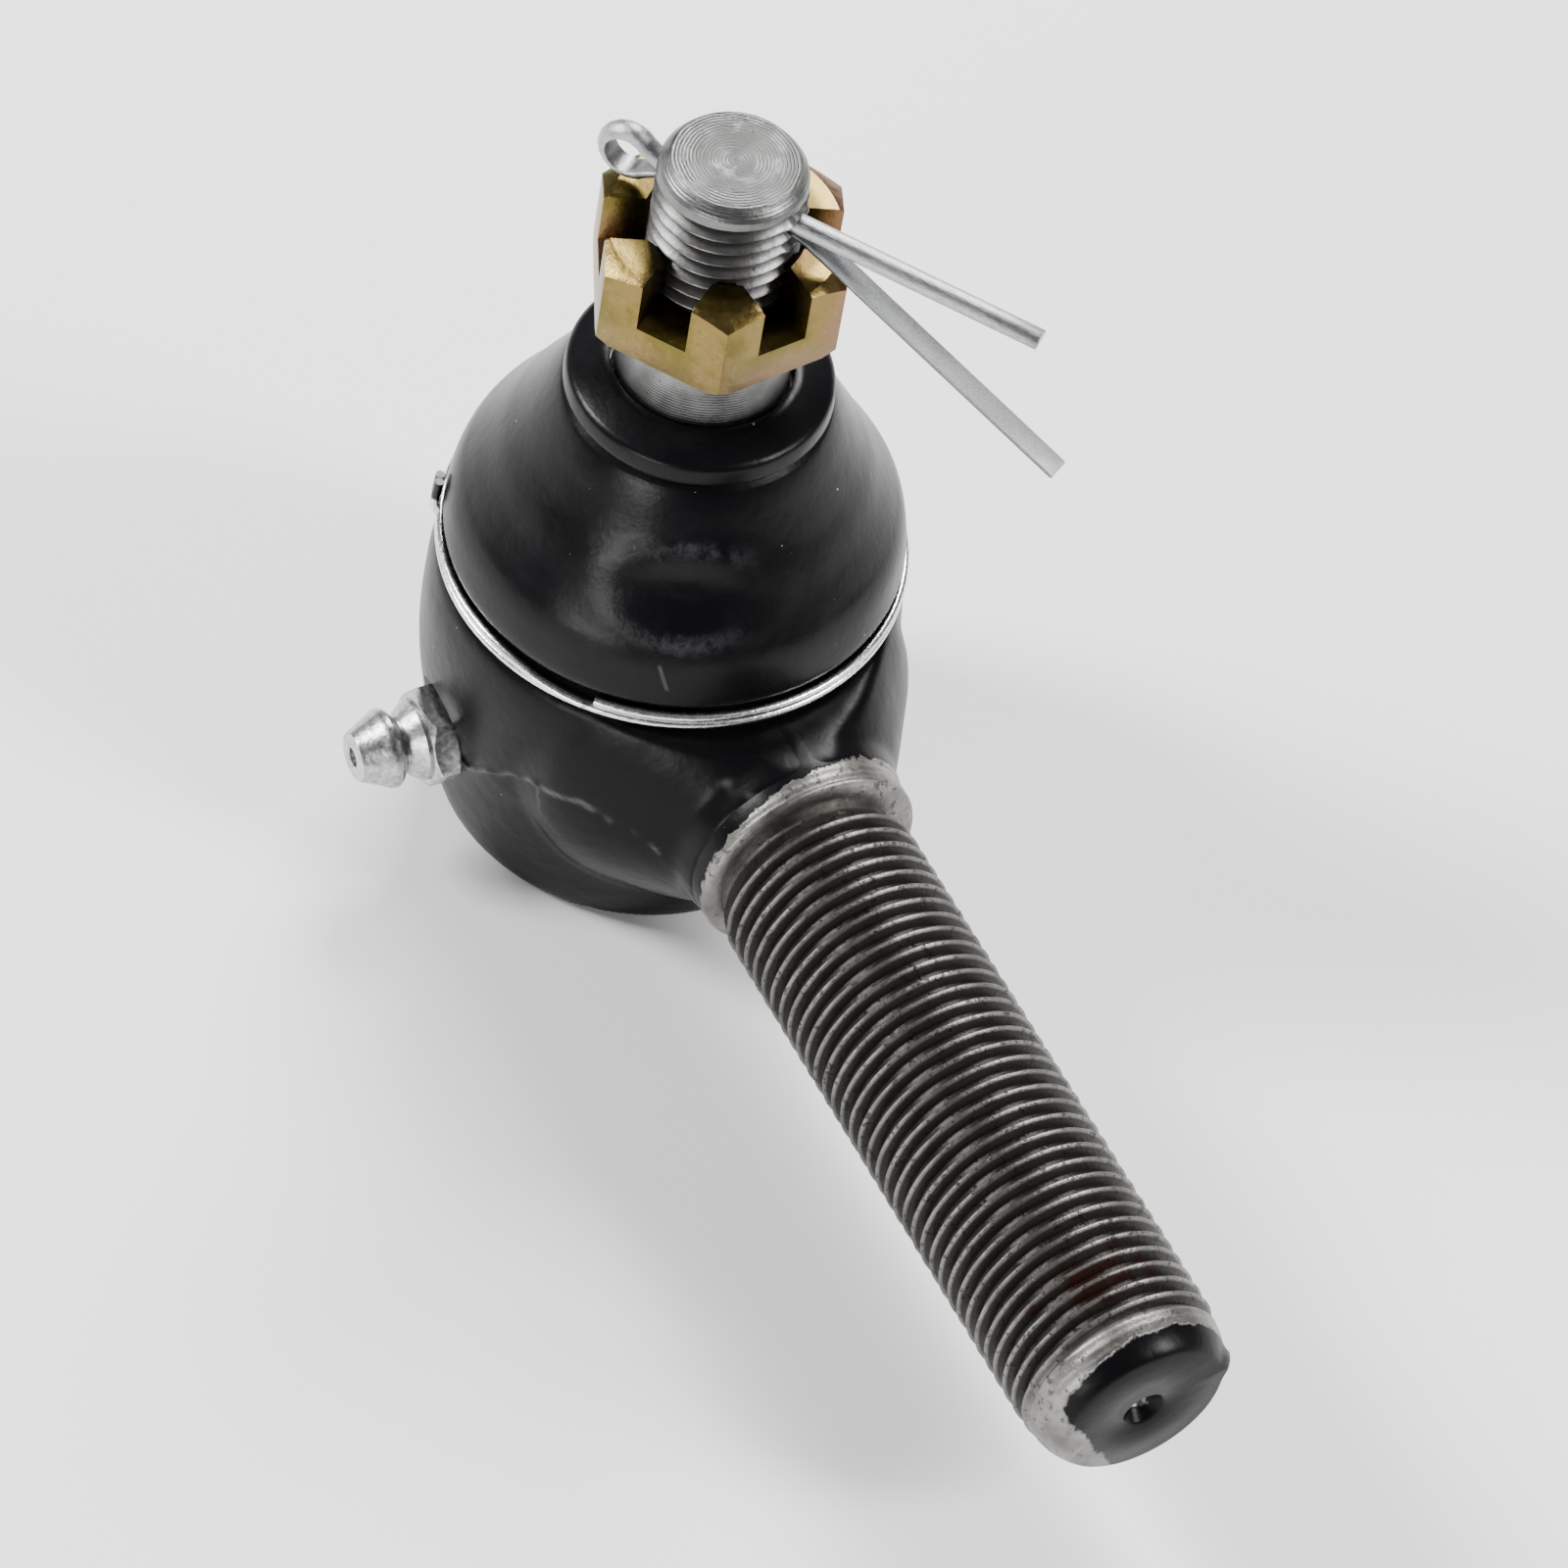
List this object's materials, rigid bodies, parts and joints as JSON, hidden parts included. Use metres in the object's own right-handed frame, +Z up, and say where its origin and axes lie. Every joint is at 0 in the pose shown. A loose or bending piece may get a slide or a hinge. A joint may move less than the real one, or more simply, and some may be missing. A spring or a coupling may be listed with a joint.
{
  "type": "tie rod end",
  "caption": "Steering tie rod end: a forged side-neck ball socket with a threaded shank, a tapered ball stud with castle nut and split pin, a rubber boot and a grease nipple.",
  "frame": {"origin": "middle of the socket's flat underside, on the stud's axis at rest", "axes": "+Z up along the stud at rest, +X along the threaded shank, +Y completes a right-handed frame; the grease nipple is on the -Y side"},
  "size_m": [0.0961, 0.0431, 0.0685],
  "materials": {
    "painted_forging": "gloss black paint over a forging; the shank, collar and thread are bare turned steel",
    "bearing_seat": "moulded acetal, greased",
    "spring_steel": "oiled spring steel wire",
    "cover_steel": "pressed steel, phosphated dark",
    "seal_rubber": "matt nitrile rubber",
    "turned_steel": "bare turned steel with fine rings, lightly oiled",
    "yellow_zinc": "yellow passivated zinc plate with a faint rainbow",
    "bright_zinc": "bright zinc plate",
    "boot_rubber": "smooth black rubber with a soft gloss"
  },
  "bodies": {
    "socket": {"housing": "painted_forging", "upper_seat": "bearing_seat", "lower_seat": "bearing_seat", "preload_spring": "spring_steel", "cover_plate": "cover_steel", "cover_seal": "seal_rubber", "snap_ring": "spring_steel", "boot_clip": "bright_zinc", "grease_nipple": "bright_zinc", "nipple_spring": "spring_steel"},
    "boot_swing": {"dust_boot": "boot_rubber"},
    "boot_neck": {"boot_neck_ring": "cover_steel"},
    "stud": {"ball_stud": "turned_steel", "castle_nut": "yellow_zinc", "split_pin": "bright_zinc"},
    "check_valve": {"nipple_ball": "spring_steel"}
  },
  "joints": [
    {"name": "tilt_along", "type": "hinge", "parent": "socket", "child": "boot_swing", "pos_m": [0, 0, 0.0186], "axis": [0, 1, 0], "range_deg": [-18, 18], "deforming": ["dust_boot"]},
    {"name": "tilt_across", "type": "hinge", "parent": "boot_swing", "child": "boot_neck", "pos_m": [0, 0, 0.0186], "axis": [1, 0, 0], "range_deg": [-18, 18], "deforming": ["dust_boot"]},
    {"name": "stud_spin", "type": "hinge", "parent": "boot_neck", "child": "stud", "pos_m": [0, 0, 0.0186], "axis": [0, 0, 1], "continuous": true},
    {"name": "check_ball_slide", "type": "slide", "parent": "socket", "child": "check_valve", "axis": [0.0349, 0.9994, 0], "range_m": [0, 0.0008], "stiffness_N_per_m": 120, "springref_m": -0.0005, "deforming": ["nipple_spring"]}
  ]
}
